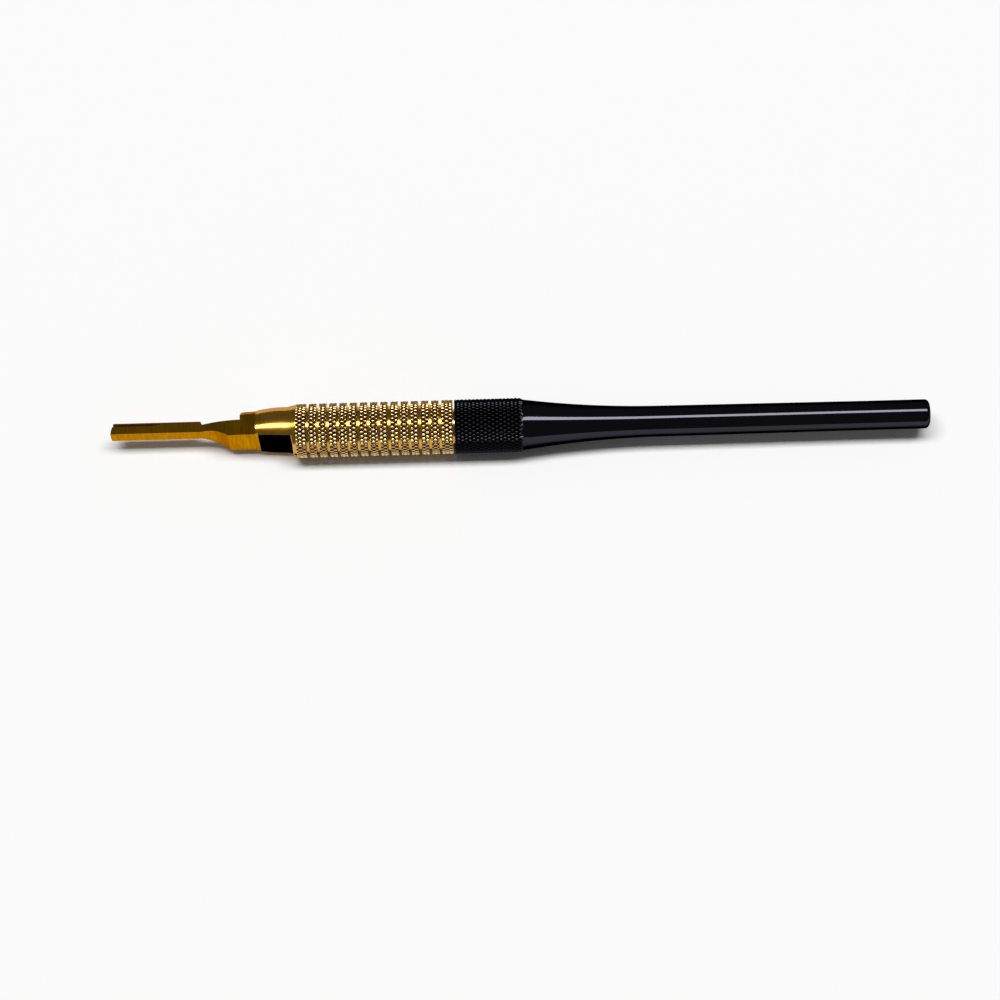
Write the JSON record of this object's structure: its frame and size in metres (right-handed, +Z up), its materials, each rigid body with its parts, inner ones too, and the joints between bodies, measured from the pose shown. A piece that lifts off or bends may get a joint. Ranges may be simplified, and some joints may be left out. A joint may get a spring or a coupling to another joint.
{
  "type": "scalpel handle",
  "caption": "Round scalpel handle with a small detachable-blade fitting, a ringed and knurled grip, and a waist that runs into a slim shaft.",
  "frame": {"origin": "on the surface that the handle lies on, below the middle of its axis", "axes": "+X along the handle's axis from the blade fitting to the shaft's end, +Y towards the side that takes the blade, +Z up across the width of the blade fitting"},
  "size_m": [0.145, 0.0096, 0.0096],
  "materials": {
    "gold_coating": "gold-coloured hard coating on stainless steel, satin where milled, bright on the neck's flat",
    "black_coating": "glossy black hard coating on stainless steel"
  },
  "bodies": {
    "root": {"blade_head": "gold_coating", "shank": "black_coating"}
  },
  "joints": []
}
